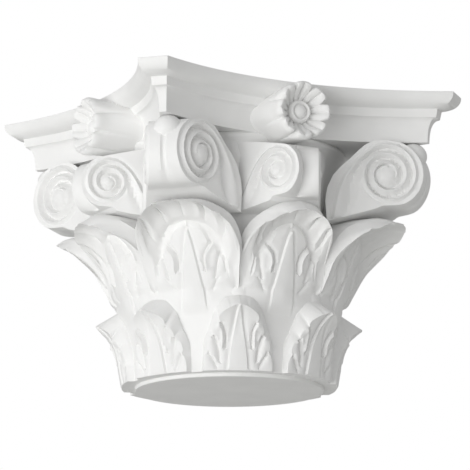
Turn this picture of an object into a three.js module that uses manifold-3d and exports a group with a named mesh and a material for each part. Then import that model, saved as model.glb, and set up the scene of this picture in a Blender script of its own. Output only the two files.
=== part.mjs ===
import * as THREE from 'three';
import { mergeVertices } from 'three/addons/utils/BufferGeometryUtils.js';
import Module from 'manifold-3d';

// Main sizes in mm. +Z is up and the underside of the spigot is z = 0.
const HEIGHT = 271.5;
const SPIGOT_R = 89.3;
const LEAF_FOOT = 3.5;
const BELL_R = 97;
const SLAB_FOOT = 226.6;
const HORN_REACH = 224.9;
const HORN_W = 28.6;
const SIDE_MID = 132;
const FLOWER_Z = 241;
const FLOWER_FLARE = 7.5;
const BUD_R = 12;
const BUD_OUT = 181;
const BUD_Z = 217;
const LOW_RIB_HALF = 9.5;
const LOW_RIB_CUT = 2;
const LOW_BELLY = 1.5;
const HIGH_RIB_HALF = 12.5;
const HIGH_RIB_CUT = 1.5;
const HIGH_BELLY = 1;
const LOW_CORE = 84;
const HIGH_CORE = 82;
const BELL_SWELL = [[0.5, 30], [2.5, 48]];
const BELL_UPPER = [[103, 61], [105.5, 69], [107, 76], [107, 82], [100, 86], [102, 150], [100, 200]];
const BELL_HEAD_R = 101;
const BELL_LAP = 2;

// Half outlines of the leaves: sideways, outward and up, from foot to tip.
const LOW_LIP = [
  [32, 97.4, 3.5], [31, 99, 18], [29.5, 102, 31], [25.5, 106.5, 42],
  [21, 112, 48], [17, 118, 53], [10, 123, 58], [0, 126.5, 61],
];
const LOW_BACK = [
  [32.5, 90, 3.5], [32, 92, 18], [31, 94.5, 32], [26, 99, 46],
  [22.5, 101, 58], [18, 102, 68], [11, 102, 74], [0, 102, 76],
];
const LOW_RIB = [
  [101.5, 3.5], [103.5, 14], [105, 25], [107, 37],
  [110.5, 46], [115.5, 52], [121, 57], [126.5, 61],
];
const HORN_LIP = [
  [38, 93, 58], [42, 103, 82], [45.5, 111, 98], [49.5, 121, 114],
  [47, 138, 129], [40, 150, 138], [23, 166, 147], [0, 172, 149],
];
const HORN_BACK = [
  [38, 88, 58], [42, 98, 82], [45.5, 106, 98], [49, 113, 118],
  [46, 125, 137], [39, 137, 146], [23, 151, 153], [0, 156, 154],
];
const HORN_ARCH = [
  [34, 95, 58], [34, 107, 80], [33.5, 112, 98], [31, 116, 114],
  [27, 122, 127], [20, 128, 135], [10, 132, 139.5], [0, 134, 141],
];
const FACE_LIP = [
  [38, 93, 58], [42, 103, 82], [43.5, 108, 98], [44.5, 113, 112],
  [42, 127, 125], [34, 141, 133], [18, 154, 142], [0, 158, 146],
];
const FACE_BACK = [
  [38, 88, 58], [42, 97, 82], [43.5, 102, 98], [44.5, 105, 116],
  [41, 115, 134], [33, 127, 145], [18, 139, 154], [0, 143, 157],
];
const FACE_ARCH = [
  [34, 95, 58], [34, 106, 80], [33.5, 110, 96], [31, 113, 110],
  [27, 117, 122], [20, 122, 131], [10, 127, 137], [0, 130, 139],
];
const HIGH_RIB = [
  [101.5, 58], [106, 72], [111, 86], [115, 98],
  [118.5, 110], [121.5, 120], [124.5, 128], [127, 134],
];

// Scrolls: centre of the eye outward, sideways and up, radius, turn of the face from outward.
const VOLUTE = {
  out: 163.3, side: 25.6, z: 193.2, turn: 68, ridge: 28.8, eye: 8.4, lift: 2, groove: 2.4,
  disc: [[-100, 26.8], [-60, 28.6], [-30, 31.4], [0, 33.6], [30, 34], [60, 33.3], [90, 32.6]],
  flank: [[-20, 222], [-35, 208], [-51, 192], [-58.4, 168], [-57, 148], [-12, 163]],
};
const HELIX = {
  out: 137.9, side: 21.9, z: 184.6, turn: 62, ridge: 20.8, eye: 4.8, lift: 1.5, groove: 11,
  disc: [[-100, 24.2], [-60, 24.6], [-30, 24.8], [0, 25], [30, 25.2], [60, 25.4], [90, 25.6]],
  flank: [[-22, 214], [-48, 218], [-46, 150], [-8, 157]],
};
const SCROLL_TURNS = 2.25;
const SCROLL_STEPS = 10;

const UP = new THREE.Vector3(0, 0, 1);
const wasm = await Module();
wasm.setup();

// Turns rings of points into one closed mesh; equal points melt together.
function closedMesh(rings, capStart, capEnd) {
  const at = [];
  const tri = [];
  const n = rings[0].length;
  rings.forEach((ring) => ring.forEach((p) => at.push(p.x, p.y, p.z)));
  for (let j = 0; j < rings.length - 1; j += 1) {
    for (let i = 0; i < n; i += 1) {
      const a = j * n + i;
      const b = j * n + ((i + 1) % n);
      tri.push(a, b, b + n, a, b + n, a + n);
    }
  }
  const cap = (j, flip) => {
    const ring = rings[j];
    const o = ring[0];
    const nrm = new THREE.Vector3();
    ring.forEach((p, i) => {
      const q = ring[(i + 1) % n];
      nrm.add(new THREE.Vector3().crossVectors(p.clone().sub(o), q.clone().sub(o)));
    });
    nrm.normalize();
    const ex = Math.abs(nrm.z) < 0.9 ? UP.clone().cross(nrm) : new THREE.Vector3(1, 0, 0);
    ex.addScaledVector(nrm, -ex.dot(nrm)).normalize();
    const ey = nrm.clone().cross(ex);
    const flat = ring.map((p) => new THREE.Vector2(p.clone().sub(o).dot(ex), p.clone().sub(o).dot(ey)));
    THREE.ShapeUtils.triangulateShape(flat, []).forEach(([a, b, c]) => {
      if (flip) tri.push(j * n + a, j * n + c, j * n + b);
      else tri.push(j * n + a, j * n + b, j * n + c);
    });
  };
  if (capStart) cap(0, true);
  if (capEnd) cap(rings.length - 1, false);
  return solidFrom(at, tri);
}

// Welds points, drops empty triangles, makes the faces point out.
function solidFrom(at, tri) {
  const geo = new THREE.BufferGeometry();
  geo.setAttribute('position', new THREE.Float32BufferAttribute(at, 3));
  geo.setIndex(tri);
  const welded = mergeVertices(geo, 1e-4);
  const pos = welded.attributes.position.array;
  const idx = welded.index.array;
  const keep = [];
  let volume = 0;
  for (let i = 0; i < idx.length; i += 3) {
    const [a, b, c] = [idx[i], idx[i + 1], idx[i + 2]];
    if (a === b || b === c || a === c) continue;
    keep.push(a, b, c);
    const [p, q, r] = [a, b, c].map((k) => new THREE.Vector3().fromArray(pos, 3 * k));
    volume += p.dot(q.cross(r));
  }
  if (volume < 0) keep.reverse();
  return new wasm.Manifold(new wasm.Mesh({
    numProp: 3,
    vertProperties: Float32Array.from(pos),
    triVerts: Uint32Array.from(keep),
  }));
}

function fromGeometry(geometry) {
  geometry.deleteAttribute('normal');
  geometry.deleteAttribute('uv');
  const g = mergeVertices(geometry, 1e-4);
  return solidFrom(Array.from(g.attributes.position.array), Array.from(g.index.array));
}

// A point given sideways, outward and up, in the frame turned to an azimuth.
function place(azimuth, side, out, z) {
  const a = THREE.MathUtils.degToRad(azimuth);
  return new THREE.Vector3(
    out * Math.cos(a) - side * Math.sin(a),
    out * Math.sin(a) + side * Math.cos(a),
    z,
  );
}

function curveOf(list) {
  return new THREE.CatmullRomCurve3(
    list.map((p) => (p.length === 3 ? new THREE.Vector3(...p) : new THREE.Vector3(0, ...p))),
    false,
    'centripetal',
  );
}

function sample(list, s) {
  return curveOf(list).getPoint(s);
}

// A leaf cut into rows from foot to tip. Each row runs back, lip, face, rib, face, lip, back.
function leaf(azimuth, lip, back, rib, opts) {
  const rows = opts.rows;
  const rings = [];
  for (let j = 0; j <= rows; j += 1) {
    const s = j / rows;
    const L = sample(lip, s);
    const A = sample(back, s);
    const S = sample(rib, s);
    const cut = opts.notch(s);
    L.x -= cut * 2.5;
    const half = opts.ribHalf * (1 - s) ** 0.8;
    const groove = new THREE.Vector3(half, S.y - opts.groove * Math.min(1, (1 - s) * 4), S.z);
    const side = [A, L];
    if (opts.arch) side.push(sample(opts.arch, s));
    const from = side[side.length - 1];
    const mid = from.clone().lerp(groove, 0.5);
    mid.y += opts.belly * Math.min(1, (1 - s) * 4) - cut * 2.5;
    if (!opts.arch) side.push(mid);
    side.push(groove);
    const inner = new THREE.Vector3(A.x * (opts.core / A.y), opts.core, A.z);
    side.unshift(inner);
    const right = side.map((p) => place(azimuth, p.x, p.y, p.z));
    const left = side.map((p) => place(azimuth, -p.x, p.y, p.z)).reverse();
    const crest = place(azimuth, 0, S.y, S.z);
    rings.push([...right, crest, ...left]);
  }
  return closedMesh(rings, true, false);
}

// How deep the edge is nicked at a share of its length, given each nick's place and depth.
function notches(list) {
  return (s) => list.reduce((sum, [at, deep]) => sum + deep * Math.exp(-(((s - at) / 0.05) ** 2)), 0);
}

// The flat face of a wedge: a coiling round end and a flank that runs back to the bell.
function faceOutline(k) {
  const disc = k.disc.map(([deg, r]) => {
    const a = THREE.MathUtils.degToRad(deg);
    return new THREE.Vector3(r * Math.cos(a), k.z + r * Math.sin(a), 0);
  });
  const round = new THREE.CatmullRomCurve3(disc, false, 'centripetal').getPoints(9);
  return [...k.flank, ...round.map((p) => [p.x, p.y])];
}

// A scroll on the face of a wedge that grows out of the bell: one coiling crest and hollow.
function scroll(azimuth, hand, k) {
  const turn = THREE.MathUtils.degToRad(k.turn);
  const flat = [];
  const at = [];
  const add = (u, z, lift, pull, sink = 0) => {
    const side = (k.side - u * Math.cos(turn) + lift * Math.sin(turn)) * pull;
    const out = k.out + u * Math.sin(turn) + lift * Math.cos(turn) - sink;
    const p = place(azimuth, hand * side, out, z);
    at.push(p.x, p.y, p.z);
    return flat.push(new THREE.Vector2(u, z)) - 1;
  };
  const tri = [];
  const face = (a, b, c, back) => {
    const [p, q, r] = [flat[a], flat[b], flat[c]];
    const turns = (q.x - p.x) * (r.y - p.y) - (q.y - p.y) * (r.x - p.x);
    if (turns > 0 === !back) tri.push(a, b, c);
    else tri.push(a, c, b);
  };
  const edge = faceOutline(k);
  const front = edge.map(([u, z]) => add(u, z, 0, 1));
  const rear = edge.map(([u, z]) => add(u, z, 0, -0.05, k.groove * THREE.MathUtils.clamp(u / 12, 0, 1)));
  front.forEach((a, i) => {
    const j = (i + 1) % front.length;
    tri.push(a, rear[i], rear[j], a, rear[j], front[j]);
  });
  const last = Math.round(SCROLL_STEPS * SCROLL_TURNS);
  const radius = (i) => k.ridge - (k.ridge - k.eye) * (i / last);
  const crest = [];
  const hollow = [];
  for (let i = 0; i <= last; i += 1) {
    const a = (i / SCROLL_STEPS) * Math.PI * 2;
    const r = radius(i);
    crest.push(add(-r * Math.cos(a), k.z + r * Math.sin(a), k.lift, 1));
    if (i <= last - SCROLL_STEPS) {
      const h = (r + radius(i + SCROLL_STEPS)) / 2;
      hollow.push(add(-h * Math.cos(a + 0.08), k.z + h * Math.sin(a + 0.08), -k.lift, 1));
    }
  }
  for (let i = 0; i < last - SCROLL_STEPS; i += 1) {
    const j = i + SCROLL_STEPS;
    face(crest[i], crest[i + 1], hollow[i + 1]);
    face(crest[i], hollow[i + 1], hollow[i]);
    face(hollow[i], hollow[i + 1], crest[j + 1]);
    face(hollow[i], crest[j + 1], crest[j]);
  }
  const fill = (loop, holes, back) => {
    const list = [...loop, ...holes.flat()];
    const points = (some) => some.map((i) => flat[i].clone());
    THREE.ShapeUtils.triangulateShape(points(loop), holes.map(points))
      .forEach(([a, b, c]) => face(list[a], list[b], list[c], back));
  };
  fill([...crest.slice(last - SCROLL_STEPS), hollow[last - SCROLL_STEPS]], [], false);
  fill(front, [[...crest.slice(0, SCROLL_STEPS + 1), hollow[0]]], false);
  fill(rear, [], true);
  return solidFrom(at, tri);
}

// The slab plan: four hollow sides and four cut horns, drawn in by a share of the inset.
function slabPlan(inset, hornW) {
  const half = hornW / 2;
  const reach = HORN_REACH - inset;
  const u = (reach - half) * Math.SQRT1_2;
  const n = (reach + half) * Math.SQRT1_2;
  const mid = SIDE_MID - inset;
  const sag = n - mid;
  const radius = (u * u + sag * sag) / (2 * sag);
  const open = Math.asin(u / radius);
  const ring = [];
  for (let side = 0; side < 4; side += 1) {
    for (let i = 0; i <= 8; i += 1) {
      const a = -open + (2 * open * i) / 8;
      ring.push([side * 90, radius * Math.sin(a), mid + radius * (1 - Math.cos(a))]);
    }
  }
  return ring;
}

function slab() {
  // Height above the slab foot and inset from the top edge, foot to top.
  const levels = [
    [0, 28.6], [14.9, 26.5], [16.5, 24], [19, 20.5], [21.5, 19], [22, 17.5],
    [28, 16], [32, 12], [36, 7], [40, 2.5], [41.5, 0], [44.9, 0],
  ];
  const rings = levels.map(([z, inset]) => slabPlan(inset, HORN_W - inset * 0.76)
    .map(([az, side, out]) => place(az, side, out, SLAB_FOOT + z)));
  return closedMesh(rings, true, true);
}

function flower(azimuth) {
  // Out from the axis, radius at a petal tip and at a gap, share of the flare at the sides.
  const levels = [
    [100, 26.2, 26.2, 1], [136, 26.2, 26.2, 0.1], [148, 27.2, 24, 0], [154, 24, 21, 0],
    [141, 11, 11, 0], [144.5, 9.5, 9.5, 0], [146, 0, 0, 0],
  ];
  const rings = levels.map(([out, tip, gap, share]) => {
    const ring = [];
    for (let i = 0; i < 16; i += 1) {
      const a = (i / 16) * Math.PI * 2;
      const flare = FLOWER_FLARE * share * Math.max(0, Math.cos(2 * a));
      const r = (i % 2 ? gap : tip) + flare;
      ring.push(place(azimuth, r * Math.cos(a), out, FLOWER_Z + Math.min(r, tip) * Math.sin(a)));
    }
    return ring;
  });
  return closedMesh(rings, true, false);
}

function bud(azimuth) {
  const ball = new THREE.SphereGeometry(BUD_R, 8, 6);
  ball.rotateX(Math.PI / 2);
  const c = place(azimuth, 0, BUD_OUT, BUD_Z);
  ball.translate(c.x, c.y, c.z);
  return fromGeometry(ball);
}

function bell() {
  const line = [
    [0, 0], [SPIGOT_R, 0], [SPIGOT_R, LEAF_FOOT], [BELL_R, LEAF_FOOT],
    ...BELL_SWELL.map(([r, z]) => [BELL_R + r, z]),
    ...BELL_UPPER, [BELL_HEAD_R, SLAB_FOOT + BELL_LAP], [0, SLAB_FOOT + BELL_LAP],
  ].map(([r, z]) => new THREE.Vector2(r, z));
  const g = new THREE.LatheGeometry(line, 32);
  g.rotateX(Math.PI / 2);
  return fromGeometry(g);
}

let whole = bell().add(slab());
const lowNotch = notches([[0.3, 0.7], [0.52, 1], [0.8, 0.5]]);
const plainEdge = () => 0;
for (let i = 0; i < 8; i += 1) {
  const low = { rows: 7, notch: lowNotch, core: LOW_CORE };
  low.ribHalf = LOW_RIB_HALF;
  low.groove = LOW_RIB_CUT;
  low.belly = LOW_BELLY;
  whole = whole.add(leaf(22.5 + 45 * i, LOW_LIP, LOW_BACK, LOW_RIB, low));
  const horn = i % 2 === 1;
  const high = { rows: 7, notch: plainEdge, core: HIGH_CORE };
  high.ribHalf = HIGH_RIB_HALF;
  high.groove = HIGH_RIB_CUT;
  high.belly = HIGH_BELLY;
  high.arch = horn ? HORN_ARCH : FACE_ARCH;
  const lip = horn ? HORN_LIP : FACE_LIP;
  const back = horn ? HORN_BACK : FACE_BACK;
  whole = whole.add(leaf(45 * i, lip, back, HIGH_RIB, high));
}
for (let i = 0; i < 4; i += 1) {
  [1, -1].forEach((hand) => {
    whole = whole.add(scroll(45 + 90 * i, hand, VOLUTE));
    whole = whole.add(scroll(90 * i, hand, HELIX));
  });
  whole = whole.add(flower(90 * i)).add(bud(45 + 90 * i));
}

const out = whole.getMesh();
const geometry = new THREE.BufferGeometry();
geometry.setAttribute('position', new THREE.BufferAttribute(Float32Array.from(out.vertProperties), 3));
geometry.setIndex(new THREE.BufferAttribute(Uint32Array.from(out.triVerts), 1));
geometry.computeVertexNormals();
const capital = new THREE.Mesh(
  geometry,
  new THREE.MeshStandardMaterial({ color: 0xf2f2f0, roughness: 0.6, metalness: 0 }),
);
capital.name = 'capital';
const model = new THREE.Group();
model.name = 'corinthian_capital';
model.add(capital);

export default model;
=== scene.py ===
import math

import bmesh
import bpy
import numpy as np
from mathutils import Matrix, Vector
from mathutils.geometry import delaunay_2d_cdt


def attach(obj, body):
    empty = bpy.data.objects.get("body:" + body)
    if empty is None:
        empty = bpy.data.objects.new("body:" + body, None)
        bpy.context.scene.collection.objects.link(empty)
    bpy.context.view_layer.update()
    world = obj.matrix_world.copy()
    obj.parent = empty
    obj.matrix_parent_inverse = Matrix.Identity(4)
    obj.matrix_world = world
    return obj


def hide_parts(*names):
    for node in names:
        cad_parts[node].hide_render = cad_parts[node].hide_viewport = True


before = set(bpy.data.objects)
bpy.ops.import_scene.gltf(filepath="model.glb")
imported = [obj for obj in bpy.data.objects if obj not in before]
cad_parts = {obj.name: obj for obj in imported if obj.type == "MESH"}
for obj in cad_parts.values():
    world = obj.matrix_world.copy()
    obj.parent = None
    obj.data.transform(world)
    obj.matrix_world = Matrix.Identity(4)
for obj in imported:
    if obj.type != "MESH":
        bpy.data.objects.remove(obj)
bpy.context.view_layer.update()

MM = 0.001

# Main sizes of the casting in mm, +Z up, spigot underside at zero.
SPIGOT_R = 89.3
SPIGOT_H = 3.5
SLAB_FOOT = 226.6
HORN_REACH = 224.9
HORN_W = 28.6
HORN_TAPER = 0.76
SIDE_MID = 132.0
FLOWER_Z = 241.0
PETAL_TIP_R = 27.6
DRUM_R = 26.2
BUD_OUT = 181
BUD_Z = 214.4
BUD_R = 13.5
BUD_HALF_H = 12.4
LOW_CORE_R = 84.0
HIGH_CORE_R = 82.0

# Half outlines of a bottom leaf, foot to tip: sideways, outward, up.
LOW_LIP = [
    (31.5, 97.6, 3.5), (31.8, 98, 9), (31.0, 98.8, 15), (28.4, 100.6, 20.5), (29.4, 100.4, 23),
    (29.2, 101.6, 28), (27.0, 103.4, 33), (23.0, 105.4, 35.8), (23.6, 106.6, 38), (22.6, 109, 42),
    (20.4, 111, 45), (17.2, 112, 46.8), (18.4, 113.5, 49), (17.4, 116, 52.5), (14, 120, 55.5),
    (9.5, 123, 58), (8.2, 123.6, 58.2), (5, 125.3, 60), (0, 126.4, 61),
]
LOW_BACK = [
    (32.5, 90, 3.5), (32, 92, 18), (31, 94.5, 32), (26, 99, 46),
    (22.5, 101, 58), (18, 102, 68), (11, 102, 74), (0, 102, 75.8),
]
LOW_RIB = [
    (101.4, 3.5), (103.4, 14), (105, 25), (107, 37),
    (110.5, 46), (115.5, 52), (121, 57), (125.4, 59.6),
]

# Half outlines of the eight leaves above: lip, back, the fold inside the hood, the rib.
HORN_LIP = [
    (36, 86, 54), (40.2, 96.5, 77.5), (42.8, 103.8, 82.5), (45.2, 110.5, 95), (49.0, 121, 114),
    (46.8, 138, 129), (42.2, 146, 135.5), (40.6, 149, 137), (38, 153, 139.6), (30, 161.5, 144),
    (23, 166, 147), (21.2, 166.6, 147), (19, 168, 148), (9, 171, 148.8), (0, 171.8, 149),
]
HORN_BACK = [
    (36, 84, 54), (40, 92.5, 78), (42.6, 98, 83.5), (44.8, 104, 95), (49, 113, 118),
    (46, 125, 137), (39, 137, 146), (23, 151, 153), (0, 156, 154),
]
HORN_FOLD = [
    (33, 86, 54), (38.6, 96.5, 78), (35.6, 106, 84), (34, 111.5, 97), (33, 116, 114),
    (28, 122, 127), (20.5, 128, 135.5), (10, 132, 140), (0, 134, 141.3),
]
FACE_LIP = [
    (36, 86, 54), (40, 96.5, 77.5), (42.2, 103, 82.5), (43.6, 107, 95), (44.2, 113, 112),
    (42, 127, 125), (37.5, 136, 130.5), (36, 138.6, 132), (33.6, 142, 134), (26, 149.5, 138.8),
    (19.4, 153.4, 141.8), (17.8, 154, 142), (15.6, 155, 142.8), (8, 157, 145.2), (0, 157.8, 145.8),
]
FACE_BACK = [
    (36, 84, 54), (40, 92.5, 78), (42, 97, 83.5), (43.4, 101, 95), (44.3, 105, 116),
    (41, 115, 134), (33, 127, 145), (18, 139, 154), (0, 143, 156.8),
]
FACE_FOLD = [
    (33, 86, 54), (38.4, 96.5, 78), (34.4, 105, 84), (31.8, 109, 96), (30.4, 113, 110),
    (26.5, 117, 122), (20.5, 122, 131.5), (10, 127, 138), (0, 130, 139.6),
]
HIGH_RIB = [
    (100.9, 54), (103.2, 61), (106.8, 72), (111, 86), (115, 98),
    (118.5, 110), (121.5, 120), (124.5, 128), (127, 134),
]

# The round bell at the upper leaves' feet: up, outward.
FOOT_DRUM = [(54, 100.8), (58, 102), (60, 102.7), (63, 103.9), (69, 105.9), (76, 107.6), (84, 109.5)]

# Shares of the way up a leaf's edge at which it is creased or notched.
HOOD_CREASES = (0.56, 0.78)
LOW_NOTCHES = (0.165, 0.385, 0.61)

# Depths and widths of the carving.
VEIN_DEEP = 1.9
VEIN_W = 0.95
LOW_STALK_H = 1.3
HIGH_STALK_H = 1.2
INNER_LEAF_H = 2.6
PLEAT_DEEP = 3.2
FOLD_ROLL_H = 2.4

# The stalk's edge on each leaf, sideways and up.
LOW_VEIN = [(9.7, 3.5), (8.6, 17.7), (6.7, 31.4), (4.9, 42), (2.9, 54), (1.4, 60)]
HIGH_VEIN = [(12.6, 58), (10.6, 80), (8, 97), (5.4, 112), (3, 125), (0.6, 134)]

# Sharp carving on one side of a leaf: the line, sideways and up, its rise (a cut is below zero), its width.
LOW_CARVING = [
    ([(12.4, 24.3), (12.1, 31.4), (12.9, 38.2), (14.6, 42.4), (17.6, 46.2)], -3.6, 1.25),
    ([(14.8, 26), (14.6, 32.7), (15.4, 39.2), (17.8, 43.6)], 2.1, 1.5),
    ([(17.4, 12), (18.6, 22), (20.8, 30), (23.2, 35.8)], -2.8, 1.2),
    ([(20, 7), (22.6, 12), (26, 17.5), (28.8, 20.6)], -2.6, 1.2),
]
HIGH_CARVING = [
    ([(12.6, 96.5), (11.9, 104), (13.6, 111), (17.4, 116), (21, 119)], -3.4, 1.3),
    ([(15.8, 97), (15.2, 104), (17, 110), (20.6, 114.5)], 1.9, 1.7),
    ([(22, 88), (24, 96), (26, 104), (27.6, 109)], -2.5, 1.3),
    ([(18.5, 79), (22, 84), (26, 89)], -1.6, 1.3),
]

# Soft swellings of the lobes between the cuts, given the same way.
LOW_SWELLINGS = [
    ([(23.6, 18), (25.6, 26), (25, 32)], 1.6, 2.4),
    ([(19, 33), (20.4, 38.5), (19.4, 43)], 1.4, 2.0),
    ([(28.4, 5), (29, 12), (27.6, 16)], 1.2, 2.0),
]
HIGH_SWELLINGS = [([(28.6, 92), (30.4, 98), (30, 104)], 1.2, 2.0)]

# The lobed edge of the inner leaf that lies on each upper leaf.
HIGH_LOBES = [
    (0, 136.6), (7.6, 135), (13.6, 131.4), (17.4, 125.4), (19.4, 119.6), (22.6, 118.2), (25.8, 113),
    (27.6, 108.5), (30.2, 107), (32, 101.5), (32.6, 95), (36, 88), (44, 82),
]

# Points in one turn of a scroll's coil.
TURN_POINTS = 44

# Scrolls. Eye centre outward, sideways, up; face turned from outward; along the face and up for the rest.
# The band runs from the face in to the pair's middle plane: share of the face's distance from that plane,
# then share of the groove's depth.
VOLUTE = {
    "out": 163.3, "side": 25.6, "z": 193.2, "turn": 68.0, "eye": 8.4, "ridge": 28.8, "turns": 2.28,
    "stem": [(-53, 140), (-50.5, 152), (-48.6, 163), (-45.5, 176), (-40.5, 189), (-33.5, 199.8),
             (-24, 210), (-13, 218.4), (-6, 221.3)],
    "flank": [(-12, 226), (-20, 222), (-26, 217), (-35, 208), (-44, 200), (-51, 192), (-56.5, 180),
              (-58.4, 168), (-57, 148), (-12, 160.5)],
    "disc": [(-100, 30.2), (-60, 31.6), (-30, 33), (0, 33.8), (30, 34), (60, 33.6), (90, 33)],
    "groove": 2.4, "lift": 2.4, "deep": 4.8,
    "band": [(0.8, 0.0), (0.5, 0.0), (0.24, 0.0), (0.1, 0.9), (0.0, 1.0), (-0.04, 1.0)],
}
HELIX = {
    "out": 137.9, "side": 21.9, "z": 184.6, "turn": 62.0, "eye": 4.8, "ridge": 20.8, "turns": 2.05,
    "stem": [(-50, 138), (-44.5, 150), (-39, 160), (-34, 169), (-26.5, 184), (-18.5, 195.5), (-9.5, 203)],
    "flank": [(-22, 214), (-48, 218), (-46, 150), (-8, 157)],
    "disc": [(-100, 24.2), (-60, 24.6), (-30, 24.8), (0, 25), (30, 25.2), (60, 25.4), (90, 25.6)],
    "groove": 11.0, "lift": 2.0, "deep": 3.8,
    "band": [(0.85, 0.06), (0.6, 0.25), (0.3, 0.6), (0.1, 0.9), (0.0, 1.0), (-0.04, 1.0)],
}

# The slab's mouldings, foot to top: up from the slab's foot, drawn in from its reach.
SLAB_LINE = [
    (0, 28.6), (7.1, 28.2), (11.8, 27.5), (14.4, 26.9), (16.4, 26.1), (18.6, 25.1), (20.4, 23.8),
    (21.6, 22.4), (22.3, 21), (22.6, 19.7), (23, 19), (30.2, 17.5), (30.7, 17.2), (31, 16), (31.4, 13.6),
    (32.1, 10.8), (33.3, 7.6), (34.8, 5), (36.8, 2.8), (39.2, 1.2), (41.6, 0.35), (43.4, 0.1),
    (44.5, 0.1), (44.85, 0.5),
]
# Straight pieces that a hollow side is drawn in.
SIDE_STEPS = 26

# The bell's outline, foot to head: outward, up.
BELL_LINE = [
    (0, 0), (88.6, 0), (89.2, 0.6), (SPIGOT_R, SPIGOT_H), (97, SPIGOT_H), (97.5, 30), (99.5, 48),
    (102, 58), (102.6, 60), (103.6, 63), (105.5, 69), (107, 76), (107, 82), (100, 86), (101, 150),
    (100.6, 165), (100, 180), (100, 194), (101.4, 204), (104, 212), (107.4, 218), (110, 221.6),
    (110.8, 223.4), (110.4, 225.2), (109, 226.2), (108, 228.6), (0, 228.6),
]
# How far it is drawn in behind the upper leaves' feet, and swells between the scrolls' stems.
DRAWN_IN = 7
SHEATH_SWELL = 9


def srgb_to_linear(code):
    """A hex colour as linear red, green, blue and one."""
    parts = [int(code[i:i + 2], 16) / 255 for i in (0, 2, 4)]
    return tuple(c / 12.92 if c <= 0.04045 else ((c + 0.055) / 1.055) ** 2.4 for c in parts) + (1.0,)


def placed(azimuth, side, out, z):
    """Points given sideways, outward and up, turned to an azimuth about the axis."""
    a = math.radians(azimuth)
    side, out, z = np.broadcast_arrays(side, out, z)
    return np.stack([out * math.cos(a) - side * math.sin(a), out * math.sin(a) + side * math.cos(a), z], -1)


def curve_at(points, share):
    """Smooth curve through the points, read at shares from 0 to 1 of the way."""
    p = np.array(points, float)
    p = np.vstack([2 * p[0] - p[1], p, 2 * p[-1] - p[-2]])
    spans = len(points) - 1
    x = np.clip(np.asarray(share, float), 0, 1) * spans
    i = np.minimum(x.astype(int), spans - 1)
    t = (x - i)[:, None]
    a, b, c, d = p[i], p[i + 1], p[i + 2], p[i + 3]
    squared = (2 * a - 5 * b + 4 * c - d) * t ** 2
    cubed = (3 * b - a - 3 * c + d) * t ** 3
    return 0.5 * (2 * b + (c - a) * t + squared + cubed)


def even_curve(points, step):
    """The same kind of curve cut into pieces of equal length."""
    fine = curve_at(points, np.linspace(0, 1, 40 * len(points)))
    run = np.r_[0, np.cumsum(np.linalg.norm(np.diff(fine, axis=0), axis=1))]
    count = max(2, int(round(run[-1] / step)) + 1)
    at = np.linspace(0, run[-1], count)
    return np.stack([np.interp(at, run, fine[:, k]) for k in range(fine.shape[1])], -1)


def gap_to(x, y, line):
    """Distance of each point from a line of points."""
    p = np.stack([np.ravel(x), np.ravel(y)], -1)
    line = np.array(line, float)
    best = np.full(len(p), 1e9)
    for a, b in zip(line[:-1], line[1:]):
        ab = b - a
        t = np.clip(((p - a) @ ab) / max(ab @ ab, 1e-12), 0, 1)
        best = np.minimum(best, np.linalg.norm(p - (a + t[:, None] * ab), axis=1))
    return best.reshape(np.shape(x))


def inside(x, y, loop):
    """True where a point lies inside a closed line."""
    x, y = np.asarray(x, float), np.asarray(y, float)
    hit = np.zeros(x.shape, bool)
    loop = np.array(loop, float)
    for (ax, ay), (bx, by) in zip(loop, np.roll(loop, -1, 0)):
        cross = (ay > y) != (by > y)
        with np.errstate(divide="ignore", invalid="ignore"):
            at = (bx - ax) * (y - ay) / (by - ay if by != ay else 1e-12) + ax
        hit ^= cross & (x < at)
    return hit


def bump_over(d, wide):
    """A soft ridge of height one across a line, at distance d from it."""
    return np.exp(-(d / wide) ** 2)


def ease(x):
    """A soft step from zero to one while x goes from zero to one."""
    x = np.clip(x, 0, 1)
    return x * x * (3 - 2 * x)


def shell_of(name, points, faces):
    """A closed mesh object in metres with equal points melted together."""
    mesh = bpy.data.meshes.new(name)
    mesh.from_pydata([tuple(p) for p in np.asarray(points) * MM], [], faces)
    bm = bmesh.new()
    bm.from_mesh(mesh)
    bmesh.ops.remove_doubles(bm, verts=bm.verts, dist=2e-6)
    bmesh.ops.dissolve_degenerate(bm, edges=bm.edges, dist=1e-7)
    bmesh.ops.triangulate(bm, faces=bm.faces)
    bmesh.ops.recalc_face_normals(bm, faces=bm.faces)
    bm.to_mesh(mesh)
    bm.free()
    obj = bpy.data.objects.new(name, mesh)
    bpy.context.scene.collection.objects.link(obj)
    return obj


def rings_shell(name, rings, cap_start=True, cap_end=True):
    """A closed mesh from rings with the same number of points."""
    rings = [np.asarray(r) for r in rings]
    n = len(rings[0])
    faces = []
    for j in range(len(rings) - 1):
        for i in range(n):
            k = (i + 1) % n
            faces.append((j * n + i, j * n + k, (j + 1) * n + k, (j + 1) * n + i))
    if cap_start:
        faces.append(tuple(range(n - 1, -1, -1)))
    if cap_end:
        faces.append(tuple(range((len(rings) - 1) * n, len(rings) * n)))
    return shell_of(name, np.concatenate(rings), faces)


def face_out(grid):
    """Unit directions square to a grid of points."""
    ds = np.gradient(grid, axis=0)
    dt = np.gradient(grid, axis=1)
    n = np.cross(ds, dt)
    return n / np.maximum(np.linalg.norm(n, axis=-1, keepdims=True), 1e-9)


def along(line, shift):
    """A carved line moved sideways."""
    return [(x + shift, z) for x, z in line]


def stalk(x, z, vein, high):
    """The stalk of a leaf: proud between its two veins, with a cut line beside each."""
    line = np.array(vein, float)
    beyond = x - np.interp(z, line[:, 1], line[:, 0])
    cut = -VEIN_DEEP * bump_over(gap_to(x, z, along(vein, 0.5)), VEIN_W)
    return high * (ease(0.5 - beyond / 2.0) - 0.35) + cut


def carved(x, z, relief, lines):
    """The relief with every line of a carving table added."""
    for line, rise, wide in lines:
        relief = relief + rise * bump_over(gap_to(x, z, line), wide)
    return relief


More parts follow.
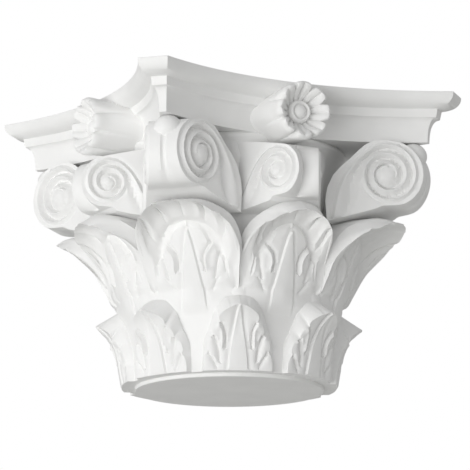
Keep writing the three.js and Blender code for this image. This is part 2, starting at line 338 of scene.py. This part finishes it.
def low_relief(x, z):
    """How far the carving of a bottom leaf stands off its plain face, mm."""
    return carved(x, z, stalk(x, z, LOW_VEIN, LOW_STALK_H), LOW_CARVING + LOW_SWELLINGS)


def high_relief(x, z):
    """The same for the leaves above: an inner leaf with lobed edges laid on the plain one."""
    lobes = even_curve(HIGH_LOBES, 1.2)
    within = inside(x, z, np.vstack([lobes, [(44, 50), (-1, 50), (-1, 136.6)]]))
    laid_on = INNER_LEAF_H * ease(0.5 + np.where(within, 1.0, -1.0) * gap_to(x, z, lobes) / 2.6) - 1.0
    return carved(x, z, laid_on + stalk(x, z, HIGH_VEIN, HIGH_STALK_H), HIGH_CARVING + HIGH_SWELLINGS)


def spaced(loop, seeds, edge_gap, gap, whole=0):
    """Points inside a closed line, apart from it and from one another; the first seeds stay whole lines."""
    closed = np.vstack([loop, loop[:1]])
    kept = np.array(loop, float)
    ties = [(i, (i + 1) % len(loop)) for i in range(len(loop))]
    for k, some in enumerate(seeds):
        some = np.asarray(some, float)
        good = inside(some[:, 0], some[:, 1], loop) & (gap_to(some[:, 0], some[:, 1], closed) > edge_gap)
        last = -1
        for q, fits in zip(some, good):
            if fits and np.min((kept[:, 0] - q[0]) ** 2 + (kept[:, 1] - q[1]) ** 2) > gap * gap:
                kept = np.vstack([kept, q])
                if k < whole and last >= 0:
                    ties.append((last, len(kept) - 1))
                last = len(kept) - 1
            else:
                last = -1
    return kept, ties


def web(loop, points, ties):
    """Flat triangles over the points inside the closed line, and where each loop point went."""
    n = len(loop)
    got = delaunay_2d_cdt([Vector(p) for p in points], ties, [list(range(n))], 1, 1e-5)
    flat = np.array([tuple(v) for v in got[0]])
    went = {o[0]: i for i, o in enumerate(got[3]) if o}
    return flat, [tuple(f) for f in got[2]], [went[i] for i in range(n)]


def shifted(line, d):
    """A line moved square to itself."""
    t = np.gradient(line, axis=0)
    n = np.stack([-t[:, 1], t[:, 0]], -1) / np.maximum(np.linalg.norm(t, axis=1, keepdims=True), 1e-9)
    return line + n * d


def leaf_rows(creases):
    """Shares of the way up a leaf's edge, closer together beside each crease and at the tip."""
    close = [c + d for c in creases for d in (-0.018, -0.008, 0.0, 0.008, 0.018)]
    return np.unique(np.round(np.r_[np.linspace(0, 1, 47), close, 0.982, 0.992], 4))


def leaf_rear(s, lips, backs, core, roll_high):
    """The back of half a leaf: from its hidden core out to its back line and softly over to the lip."""
    inner = np.stack([backs[:, 0] * core / backs[:, 1], np.full(len(s), core), backs[:, 2]], -1)
    t = np.linspace(0, 1, 4)[None, :, None]
    rear = backs[:, None] * (1 - t) + lips[:, None] * t
    roll = (4 * t * (1 - t))[..., 0] * np.minimum(1, (1 - s) * 6)[:, None]
    rear[..., 2] += roll * roll_high * ease(s / 0.4)[:, None]
    return [inner[:, None], rear[:, :-1]]


def hood_band(s, lips, folds):
    """The turned-over front of a hood, lip to fold: dished, rolled at the fold and pressed into pleats."""
    t = np.linspace(0, 1, 9)[None, :, None]
    band = lips[:, None] * (1 - t) + folds[:, None] * t
    t = t[..., 0]
    lean = face_out(band)
    flip = np.sign(lean @ np.array([0, 1.0, -0.6]))
    flip[flip == 0] = 1
    lean = lean * flip[..., None]
    span = np.linalg.norm(lips - folds, axis=1)[:, None]
    dip = 4 * t * (1 - t) * np.clip((s - 0.2) * 4, 0, 1)[:, None] * np.minimum(span * 0.16, 5.0)
    rolled = FOLD_ROLL_H * bump_over(1 - t, 0.14) * ease((s - 0.15) * 4)[:, None]
    pleat = np.zeros(band.shape[:2])
    deep = PLEAT_DEEP * np.sin(np.pi * np.clip(0.12 + t * 0.86, 0, 1)) ** 0.7
    for at in HOOD_CREASES + (1.0,):
        gap = s[:, None] - at
        pleat -= deep * np.exp(-np.abs(gap) / 0.016)
        pleat += 0.75 * deep * np.exp(-((gap - 0.045) / 0.032) ** 2)
    band = band + lean * (pleat - dip + rolled * (t < 0.999))[..., None]
    return band[:, :-1]


def front_outline(edge):
    """The closed outline of a leaf's front: up the right edge, down the left, back along the foot."""
    right = np.stack([edge[:, 0], edge[:, 2]], -1)
    left = right[::-1][1:] * np.array([-1.0, 1])
    foot_side = np.linspace(-edge[0, 0], edge[0, 0], 22)[1:-1]
    foot = np.stack([foot_side, np.full(len(foot_side), edge[0, 2])], -1)
    return np.vstack([right, left, foot])


def plain_front(x, z, edge, crest, belly, on_drum):
    """How far out the uncarved front stands: straight from the rib's crest to the edge, a little full."""
    x_edge = np.maximum(np.interp(z, edge[:, 2], edge[:, 0]), 0.5)
    share = np.clip(x / x_edge, 0, 1)
    mid = np.interp(z, crest[:, 1], crest[:, 0])
    end = np.interp(z, edge[:, 2], edge[:, 1])
    full = belly * np.sin(np.pi * share) * np.clip((edge[-1, 2] - z) / 12, 0, 1)
    front = mid * (1 - share) + end * share + full
    if not on_drum:
        return front
    # The foot of an upper leaf lies flush on the round bell and lifts into its own form above.
    drum = np.interp(z, *np.array(FOOT_DRUM, float).T)
    part = ease((z - 62) / 26)
    return front * part + np.sqrt(np.maximum(drum ** 2 - x ** 2, 1)) * (1 - part)


def leaf_seeds(veins_and_cuts):
    """Where the points of a leaf's front lie: on its carved lines and both their sides, then on a grid."""
    seeds = []
    for d in (0, 1.3, -1.3, 2.7, -2.7):
        for line in veins_and_cuts:
            some = shifted(even_curve(line, 1.7 if abs(d) < 2 else 2.4), d)
            seeds += [some, some * np.array([-1.0, 1])]
    gx, gz = np.meshgrid(np.arange(-48, 49, 3.0), np.arange(3, 145, 3.0))
    seeds.append(np.stack([gx.ravel(), gz.ravel()], -1))
    return seeds


def leaf_front(edge, rib, upper):
    """The carved front of a whole leaf: points, triangles and where each point of the outline went."""
    crest = curve_at(list(rib) + [(edge[-1, 1], edge[-1, 2])], np.linspace(0, 1, 60))
    loop = front_outline(edge)
    lines = [row[0] for row in (HIGH_CARVING if upper else LOW_CARVING)]
    lines = [HIGH_VEIN] + lines + [HIGH_LOBES[:-1]] if upper else [LOW_VEIN] + lines
    flat, tris, rim = web(loop, *spaced(loop, leaf_seeds(lines), 0.9, 1.15, 2 * len(lines)))
    x, z = np.abs(flat[:, 0]), flat[:, 1]

    def plain(x, z):
        """The uncarved front of this leaf."""
        return plain_front(x, z, edge, crest, 0.8 if upper else 1.2, upper)

    slope_x = (plain(x + 0.4, z) - plain(np.maximum(x - 0.4, 0), z)) / 0.8
    slope_z = (plain(x, z + 0.4) - plain(x, z - 0.4)) / 0.8
    lean = np.stack([-slope_x, np.ones_like(x), -slope_z], -1)
    lean /= np.linalg.norm(lean, axis=1, keepdims=True)
    near = gap_to(flat[:, 0], flat[:, 1], np.vstack([loop, loop[:1]]))
    relief = (high_relief(x, z) if upper else low_relief(x, z)) * ease(near / 1.3)
    if upper:
        relief -= 1.5 * bump_over(near - 3.6, 2.4) * ease((z - 84) / 10)
        relief *= ease((z - 55) / 14)
    face = np.stack([x, plain(x, z), z], -1) + lean * relief[:, None]
    face[:, 0] *= np.where(flat[:, 0] < 0, -1, 1)
    face[np.abs(flat[:, 0]) < 1e-6, 0] = 0
    # The outline's own points go exactly where the leaf's sides end, so that the skin closes.
    tip = len(edge) - 1
    for i, r in enumerate(rim[:2 * tip + 1]):
        if i < tip:
            face[r] = edge[i]
        elif i == tip:
            face[r] = edge[i] * np.array([0, 1, 1])
        else:
            face[r] = edge[2 * tip - i] * np.array([-1, 1, 1])
    return face, tris, rim


def leaf_plan(lip, back, rib, fold, core):
    """One leaf facing +Y: its points and faces, both sides, foot to tip."""
    s = leaf_rows(HOOD_CREASES if fold else LOW_NOTCHES)
    lips, backs = curve_at(lip, s), curve_at(back, s)
    edge = curve_at(fold, s) if fold else lips
    columns = leaf_rear(s, lips, backs, core, 1.6 if fold else 1.0)
    if fold:
        columns.append(hood_band(s, lips, edge))
    half = np.concatenate(columns + [edge[:, None]], 1)
    half[-1, :, 0] = 0
    rows, wide = half.shape[:2]
    other = rows * wide
    faces = []
    for j in range(rows - 1):
        for i in range(wide - 1):
            q = [j * wide + i, j * wide + i + 1, (j + 1) * wide + i + 1, (j + 1) * wide + i]
            faces.append(tuple(q))
            faces.append(tuple(other + k for k in reversed(q)))
        faces.append((j * wide, (j + 1) * wide, other + (j + 1) * wide, other + j * wide))
    front, tris, rim = leaf_front(edge, rib, bool(fold))
    start = 2 * other
    faces += [tuple(start + k for k in f) for f in tris]
    # The sole closes the foot: right half, along the front, left half.
    foot_front = [start + r for r in rim[:2 * len(edge) - 2:-1]]
    faces.append(tuple(list(range(wide)) + foot_front + [other + i for i in range(wide - 1, -1, -1)]))
    points = [half.reshape(-1, 3), (half * np.array([-1.0, 1, 1])).reshape(-1, 3), front]
    return np.concatenate(points), faces


def leaf_shell(name, azimuth, plan):
    """A leaf turned to its place round the bell."""
    points, faces = plan
    return shell_of(name, placed(azimuth, points[:, 0], points[:, 1], points[:, 2]), faces)


def scroll_outline(scroll):
    """The closed outline of a scroll's face: the round end, then the flank back to where it starts."""
    disc = []
    for degrees, r in scroll["disc"]:
        a = math.radians(degrees)
        disc.append((r * math.cos(a), scroll["z"] + r * math.sin(a)))
    round_end = even_curve(disc, 1.5)
    corners = np.array([round_end[-1]] + scroll["flank"], float)
    flank = []
    for a, b in zip(corners[:-1], corners[1:]):
        steps = max(1, int(np.linalg.norm(b - a) / 2.2))
        flank += [a + (b - a) * i / steps for i in range(1, steps + 1)]
    return np.vstack([round_end, np.array(flank)])


def scroll_ridge(scroll):
    """The raised line up the stem and round the coil to the eye, and how many points the stem has."""
    turns = scroll["turns"]
    a = np.linspace(0, turns, int(turns * TURN_POINTS) + 1)
    r = scroll["ridge"] + (scroll["eye"] - scroll["ridge"]) * (a / turns)
    coil = np.stack([r * np.sin(2 * np.pi * a), scroll["z"] + r * np.cos(2 * np.pi * a)], -1)
    stem = even_curve(scroll["stem"] + [tuple(coil[0])], 1.8)
    return np.vstack([stem[:-1], coil]), len(stem) - 1


def scroll_relief(scroll, loop, ridge, lead, u, z):
    """How far a scroll's carving stands off its flat face: a hollow channel that winds in to a domed eye."""
    eye, lift, turns = scroll["eye"], scroll["lift"], scroll["turns"]
    # The channel's mouth: the stem, nearly three quarters of a turn and a line across below.
    gate = lead + int(TURN_POINTS * 0.72)
    mouth = np.vstack([ridge[:gate], [(scroll["stem"][0][0] + 6, scroll["stem"][0][1] - 12)]])
    pitch = (scroll["ridge"] - eye) / turns
    r_at = np.hypot(u, z - scroll["z"])
    turned = (np.arctan2(u, z - scroll["z"]) / (2 * np.pi)) % 1.0
    first = scroll["ridge"] - pitch * turned
    lap = np.clip(np.floor((first - r_at) / pitch), 0, 3)
    outer = first - pitch * lap
    inner = np.maximum(outer - pitch, eye)
    in_coil = r_at <= first
    past_end = ~in_coil | (turned + lap > turns)
    # Across the channel: from the ridge outside it to the ridge inside it.
    to_outer = np.where(in_coil, outer - r_at, gap_to(u, z, ridge[:lead + 4]))
    to_inner = np.where(in_coil, r_at - inner, r_at - first)
    across = np.clip(to_outer / np.maximum(to_outer + to_inner, 1e-6), 0, 1)
    deep = scroll["deep"] * np.clip((to_outer + to_inner) / 7.0, 0.25, 1.0)
    fall = 1 - ease((across - 0.06) / 0.34)
    rise = ease((across - 0.42) / 0.56)
    channel = -deep + (lift + deep) * np.maximum(fall, rise)
    channel = np.where(past_end & in_coil & (r_at < eye + 0.5), lift, channel)
    # Outside the channel only the ridge's own bead and the fine cut beside it are left.
    beside = gap_to(u, z, ridge)
    bead = lift * bump_over(beside, 1.2) - 0.9 * bump_over(beside - 2.8, 1.2)
    channel = bead + (channel - bead) * np.where(r_at < first, 1, ease(gap_to(u, z, mouth[-2:]) / 7))
    high = np.where(inside(u, z, mouth) | (r_at < first), channel, bead)
    dome = lift - 1.6 + 3.2 * np.sqrt(np.clip(1 - (r_at / (eye - 0.6)) ** 2, 0, 1))
    high = np.where(r_at < eye - 0.6, dome, high)
    return high * ease(gap_to(u, z, np.vstack([loop, loop[:1]])) / 1.6)


def scroll_seeds(scroll, loop, ridge):
    """Where the points of a scroll's face lie: inside its rim, along its ridge, in its eye, on a grid."""
    closed = np.vstack([loop, loop[:1]])
    t = np.gradient(closed, axis=0)[:-1]
    n = np.stack([-t[:, 1], t[:, 0]], -1)
    n /= np.maximum(np.linalg.norm(n, axis=1, keepdims=True), 1e-9)
    n *= np.sign(np.einsum("ij,ij->i", n, loop.mean(0) - loop))[:, None]
    seeds = [loop + n * 1.0, ridge] + [shifted(ridge, d) for d in (-1.4, 1.4, -2.9, 2.9)]
    for share in (0.25, 0.5, 0.75, 0.92):
        r = scroll["eye"] * share
        count = max(6, int(2 * np.pi * scroll["eye"] * share / 1.6))
        a = np.arange(count) / count * 2 * np.pi
        seeds.append(np.stack([r * np.cos(a), scroll["z"] + r * np.sin(a)], -1))
    across, up = np.arange(-60, 36, 2.8), np.arange(scroll["z"] - 46, scroll["z"] + 42, 2.8)
    gu, gz = np.meshgrid(across, up)
    seeds.append(np.stack([gu.ravel(), gz.ravel()], -1))
    return seeds


def scroll_plan(scroll):
    """One scroll: a carved face with its wedge of stem behind it, facing +Y."""
    turn = math.radians(scroll["turn"])
    loop = scroll_outline(scroll)
    ridge, lead = scroll_ridge(scroll)
    seeds = scroll_seeds(scroll, loop, ridge)
    flat, tris, rim = web(loop, *spaced(loop, seeds, 0.95, 0.95, 6))
    lift = scroll_relief(scroll, loop, ridge, lead, flat[:, 0], flat[:, 1])
    lift[rim] = 0

    def spread(u, z, lifted, pull, sink):
        """Points of the flat drawing set on the scroll's slanting face or along its band."""
        side = (scroll["side"] - u * math.cos(turn) + lifted * math.sin(turn)) * pull
        out = scroll["out"] + u * math.sin(turn) + lifted * math.cos(turn) - sink
        side, out, z = np.broadcast_arrays(side, out, z)
        return np.stack([side, out, z], -1)

    points = [spread(flat[:, 0], flat[:, 1], lift, 1.0, 0.0)]
    faces = list(tris)
    previous = rim
    count = len(flat)
    nose = np.clip(loop[:, 0] / 12, 0, 1)
    for pull, sink in scroll["band"]:
        points.append(spread(loop[:, 0], loop[:, 1], 0, pull, sink * scroll["groove"] * nose))
        here = list(range(count, count + len(loop)))
        count += len(loop)
        for i in range(len(loop)):
            j = (i + 1) % len(loop)
            faces.append((previous[i], previous[j], here[j], here[i]))
        previous = here
    faces.append(tuple(previous[::-1]))
    return np.concatenate(points), faces


def scroll_shell(name, azimuth, hand, plan):
    """A scroll turned to its place; hand -1 is its mirror image."""
    points, faces = plan
    return shell_of(name, placed(azimuth, hand * points[:, 0], points[:, 1], points[:, 2]), faces)


def slab_ring(z, inset):
    """One level of the slab, drawn in by the inset: four hollow sides and four cut horns."""
    half = (HORN_W - inset * HORN_TAPER) / 2
    reach = HORN_REACH - inset
    u = (reach - half) * math.sqrt(0.5)
    corner_out = (reach + half) * math.sqrt(0.5)
    mid = SIDE_MID - inset
    sag = corner_out - mid
    radius = (u * u + sag * sag) / (2 * sag)
    spread = math.asin(u / radius)
    a = np.linspace(-spread, spread, SIDE_STEPS + 1)
    side, out = radius * np.sin(a), mid + radius * (1 - np.cos(a))
    return np.concatenate([placed(90 * i, side, out, SLAB_FOOT + z) for i in range(4)])


def slab_shell():
    """The top slab: a cove, a fillet and a round moulding under the flat top."""
    return rings_shell("slab", [slab_ring(z, inset) for z, inset in SLAB_LINE])


def flower_shell(azimuth):
    """An eight-petal flower with a domed button on a drum that spreads toward the slab."""
    count = 112
    a = np.linspace(0, 2 * np.pi, count + 1)[:-1]
    # Zero on a petal's middle line, one between two petals.
    off = np.abs(((np.degrees(a) + 22.5) % 45) - 22.5) / 22.5
    edge = PETAL_TIP_R - 1.6 * off ** 2 - 3.6 * np.exp(-((1 - off) / 0.2) ** 2)
    groove = -3.2 * np.exp(-(off / 0.13) ** 2) + 0.8 * np.exp(-((off - 0.42) / 0.2) ** 2)
    gap = -6.0 * np.exp(-((1 - off) / 0.17) ** 2)
    # The gaps between the petals run back as fine flutes along the drum.
    flute = 1.0 * np.exp(-((1 - off) / 0.12) ** 2)
    ears = 7.5 * (1 - ease(np.abs(np.sin(a)) / 0.75))
    rows = []
    for out in (90, 104, 112, 120, 128, 136):
        back = np.clip((142 - out) / 36, 0, 1)
        r = DRUM_R + ears * back ** 1.2 - flute * ease((out - 112) / 20)
        rows.append((np.full(count, float(out)), r))
    for out, share in ((141, 0.35), (145, 0.8)):
        r = DRUM_R * (1 - share) + edge * share - flute * (1 - share)
        rows.append((np.full(count, float(out)), r))
    # Petals, tip to root: share of the tip's radius, outward, how much of the groove and of the gap.
    for share, out, cut, split in (
            (1.0, 149.0, 0.0, 0.5), (0.985, 151.6, 0.05, 0.8), (0.95, 153.4, 0.12, 1.0),
            (0.90, 154.2, 0.3, 1.1), (0.84, 153.6, 0.6, 1.1), (0.76, 150.8, 1.0, 1.1),
            (0.67, 147.0, 1.1, 1.0), (0.58, 143.8, 1.0, 0.8), (0.49, 141.4, 0.8, 0.6),
            (0.42, 140.2, 0.6, 0.4)):
        rows.append((out + groove * cut + gap * split, edge * share))
    # The button: a raised rim round a small dome.
    for r, out in ((10.8, 139.4), (10.7, 142.2), (10.2, 144.4), (9.5, 145.7), (8.7, 146.1), (7.9, 145.6),
                   (7.2, 144.3), (6.7, 143.2), (6.2, 144.0), (5.2, 145.6), (3.8, 146.8), (2.0, 147.6),
                   (0.0, 147.8)):
        rows.append((np.full(count, float(out)), np.full(count, r)))
    rings = [placed(azimuth, r * np.cos(a), out, FLOWER_Z + r * np.sin(a)) for out, r in rows]
    return rings_shell("flower", rings, True, False)


def bud_shell(azimuth):
    """The round bud between the two scroll heads under a horn."""
    w = np.linspace(0, 2 * math.pi, 25)[:-1]
    rings = []
    for q in np.linspace(0.0, math.pi, 17):
        r, z = BUD_R * math.sin(q), BUD_Z + BUD_HALF_H * math.cos(q)
        rings.append(placed(azimuth, r * np.cos(w), BUD_OUT + r * np.sin(w), z))
    return rings_shell("bud", rings, False, False)


def bell_shell():
    """The bell behind the leaves: flush between them, drawn in behind them, with a flared lip at the head."""
    w = np.linspace(0, 2 * np.pi, 145)[:-1]
    # One behind the middle of each upper leaf, and one between two neighbours' stems.
    behind = ease((20 - np.abs((np.degrees(w) + 22.5) % 45 - 22.5)) / 7)
    between = ease((12 - np.abs(np.degrees(w) % 45 - 22.5)) / 8)
    rings = []
    for r, z in BELL_LINE:
        drawn_in = DRAWN_IN * behind * ease((z - 62) / 6) * (z < 84)
        sheath = SHEATH_SWELL * between * ease((z - 150) / 20) * ease((219 - z) / 14)
        r = r - drawn_in + sheath
        rings.append(np.stack([r * np.cos(w), r * np.sin(w), np.full(len(w), float(z))], -1))
    return rings_shell("bell", rings, False, False)


def cast_together(name, shells):
    """Joins closed meshes into one skin without walls inside."""
    whole = shells[0]
    for part in shells[1:]:
        step = whole.modifiers.new("cast", "BOOLEAN")
        step.operation = "UNION"
        step.solver = "MANIFOLD"
        step.object = part
        dg = bpy.context.evaluated_depsgraph_get()
        mesh = bpy.data.meshes.new_from_object(whole.evaluated_get(dg))
        whole.modifiers.clear()
        old = whole.data
        whole.data = mesh
        bpy.data.meshes.remove(old)
        bpy.data.objects.remove(part)
    whole.name = name
    whole.data.name = name
    return whole


def crease_by_angle(obj, degrees):
    """Smooth skin with a clean line where two faces meet at more than the angle."""
    bm = bmesh.new()
    bm.from_mesh(obj.data)
    bmesh.ops.dissolve_degenerate(bm, edges=bm.edges, dist=1e-6)
    limit = math.radians(degrees)
    for f in bm.faces:
        f.smooth = True
    for e in bm.edges:
        e.smooth = len(e.link_faces) == 2 and e.calc_face_angle(0) < limit
    bm.to_mesh(obj.data)
    bm.free()


def node(tree, kind, settings=None, links=None):
    """Adds a node, sets its sockets and properties, and links inputs by name."""
    n = tree.nodes.new(kind)
    for key, value in (settings or {}).items():
        if key in n.inputs:
            n.inputs[key].default_value = value
        else:
            setattr(n, key, value)
    for key, source in (links or {}).items():
        tree.links.new(source, n.inputs[key])
    return n


def primed_polyurethane():
    """Moulded rigid polyurethane foam, spray primed: dead matt, bone white, with the primer's faint tooth."""
    mat = bpy.data.materials.new("moulded_polyurethane_white_primer")
    mat.use_nodes = True
    tree = mat.node_tree
    tree.nodes.clear()
    where = node(tree, "ShaderNodeTexCoord").outputs["Object"]
    # Slow clouds of primer thickness, about 40 mm across.
    cloud = node(tree, "ShaderNodeTexNoise", {"Scale": 25.0, "Detail": 2.0}, {"Vector": where})
    tint = node(tree, "ShaderNodeValToRGB", links={"Fac": cloud.outputs["Fac"]})
    tint.color_ramp.elements[0].position = 0.35
    tint.color_ramp.elements[0].color = srgb_to_linear("F0F0EF")
    tint.color_ramp.elements[1].position = 0.65
    tint.color_ramp.elements[1].color = srgb_to_linear("F4F4F3")
    # Spray tooth is about 0.2 mm across; drawn at 1.2 mm so that it shows at all.
    tooth = node(tree, "ShaderNodeTexNoise", {"Scale": 830.0, "Detail": 2.0}, {"Vector": where})
    grain = node(tree, "ShaderNodeBump", {"Strength": 0.05, "Distance": 0.0003},
                 {"Height": tooth.outputs["Fac"]})
    skin = node(tree, "ShaderNodeBsdfPrincipled", {"Roughness": 0.62, "IOR": 1.5},
                {"Base Color": tint.outputs["Color"], "Normal": grain.outputs["Normal"]})
    node(tree, "ShaderNodeOutputMaterial", links={"Surface": skin.outputs["BSDF"]})
    return mat


def pale_floor_paint():
    """Matt painted studio floor, pale grey, with faint roller mottle about 120 mm across."""
    mat = bpy.data.materials.new("matt_floor_paint")
    mat.use_nodes = True
    tree = mat.node_tree
    tree.nodes.clear()
    where = node(tree, "ShaderNodeTexCoord").outputs["Object"]
    mottle = node(tree, "ShaderNodeTexNoise", {"Scale": 8.0, "Detail": 3.0}, {"Vector": where})
    tint = node(tree, "ShaderNodeValToRGB", links={"Fac": mottle.outputs["Fac"]})
    tint.color_ramp.elements[0].color = srgb_to_linear("DEDEDC")
    tint.color_ramp.elements[1].color = srgb_to_linear("E4E4E2")
    skin = node(tree, "ShaderNodeBsdfPrincipled", {"Roughness": 0.7},
                {"Base Color": tint.outputs["Color"]})
    node(tree, "ShaderNodeOutputMaterial", links={"Surface": skin.outputs["BSDF"]})
    return mat


def lay_floor():
    """The studio floor, well below the capital."""
    bpy.ops.mesh.primitive_plane_add(size=24, location=(0, 0, -0.80))
    floor = bpy.context.object
    floor.name = "studio_floor"
    floor.data.materials.append(pale_floor_paint())


def soft_light(name, at, toward, size, power):
    """A wide lamp aimed at a point; sizes in metres, power in watts."""
    light = bpy.data.lights.new(name, "AREA")
    light.shape = "RECTANGLE"
    light.size, light.size_y = size
    light.energy = power
    lamp = bpy.data.objects.new(name, light)
    lamp.location = at
    lamp.rotation_euler = (Vector(toward) - Vector(at)).to_track_quat("-Z", "Y").to_euler()
    bpy.context.scene.collection.objects.link(lamp)
    return lamp


def white_room():
    """Soft even light from the walls; the wall itself reads as plain white."""
    world = bpy.data.worlds.new("white_room")
    bpy.context.scene.world = world
    world.use_nodes = True
    tree = world.node_tree
    tree.nodes.clear()
    wall = node(tree, "ShaderNodeBackground", {"Color": (1, 1, 1, 1), "Strength": 1.0})
    glow = node(tree, "ShaderNodeBackground", {"Color": (1, 1, 1, 1), "Strength": 0.50})
    path = node(tree, "ShaderNodeLightPath")
    mix = node(tree, "ShaderNodeMixShader")
    tree.links.new(path.outputs["Is Camera Ray"], mix.inputs[0])
    tree.links.new(glow.outputs[0], mix.inputs[1])
    tree.links.new(wall.outputs[0], mix.inputs[2])
    node(tree, "ShaderNodeOutputWorld", links={"Surface": mix.outputs[0]})


def plain_film():
    """Tones shown as they are, so the white wall is white."""
    bpy.context.scene.view_settings.view_transform = "Standard"
    bpy.context.scene.view_settings.look = "None"


# The photograph's camera: sensor width in mm, focal length and frame width in pixels, place in metres,
# then its angles in degrees.
SENSOR_W = 36
FOCAL_PX = 3861
FRAME_PX = 470
CAMERA_AT = (-1.6329, -3.1998, -0.5903)
HEADING = -27.04
YAW = 0.08
PITCH = 11.66


def photo_camera():
    """Long lens from well below the capital, looking up at it."""
    cam = bpy.data.cameras.new("camera")
    cam.sensor_width = SENSOR_W
    cam.lens = SENSOR_W * FOCAL_PX / FRAME_PX
    cam.clip_end = 60
    eye = bpy.data.objects.new("camera", cam)
    eye.location = CAMERA_AT
    heading, yaw, pitch = (math.radians(a) for a in (HEADING, YAW, PITCH))
    # Straight ahead goes to the axis; the yaw is toward the camera's right.
    ahead = math.atan2(math.cos(heading), -math.sin(heading)) - yaw
    look = Vector((math.cos(ahead) * math.cos(pitch), math.sin(ahead) * math.cos(pitch), math.sin(pitch)))
    eye.rotation_euler = look.to_track_quat("-Z", "Y").to_euler()
    bpy.context.scene.collection.objects.link(eye)
    bpy.context.scene.camera = eye


def cast_capital():
    """Every moulded form of the capital, joined into the one casting."""
    low = leaf_plan(LOW_LIP, LOW_BACK, LOW_RIB, None, LOW_CORE_R)
    horn = leaf_plan(HORN_LIP, HORN_BACK, HIGH_RIB, HORN_FOLD, HIGH_CORE_R)
    side = leaf_plan(FACE_LIP, FACE_BACK, HIGH_RIB, FACE_FOLD, HIGH_CORE_R)
    volute, helix = scroll_plan(VOLUTE), scroll_plan(HELIX)
    shells = [bell_shell(), slab_shell()]
    for i in range(8):
        shells.append(leaf_shell("low_leaf", 22.5 + 45 * i, low))
        shells.append(leaf_shell("horn_leaf" if i % 2 else "side_leaf", 45 * i, horn if i % 2 else side))
    for i in range(4):
        for hand in (1, -1):
            shells.append(scroll_shell("volute", 45 + 90 * i, hand, volute))
            shells.append(scroll_shell("helix", 90 * i, hand, helix))
        shells.append(flower_shell(90 * i))
        shells.append(bud_shell(45 + 90 * i))
    capital = cast_together("capital_casting", shells)
    crease_by_angle(capital, 38)
    capital.data.materials.clear()
    capital.data.materials.append(primed_polyurethane())
    return capital


capital = cast_capital()
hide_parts("capital")
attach(capital, "root")
lay_floor()
white_room()
soft_light("key_from_low_left", at=(-2.0, -1.0, -0.76), toward=(0, 0, 0.14), size=(2.4, 2.4), power=66)
photo_camera()
plain_film()
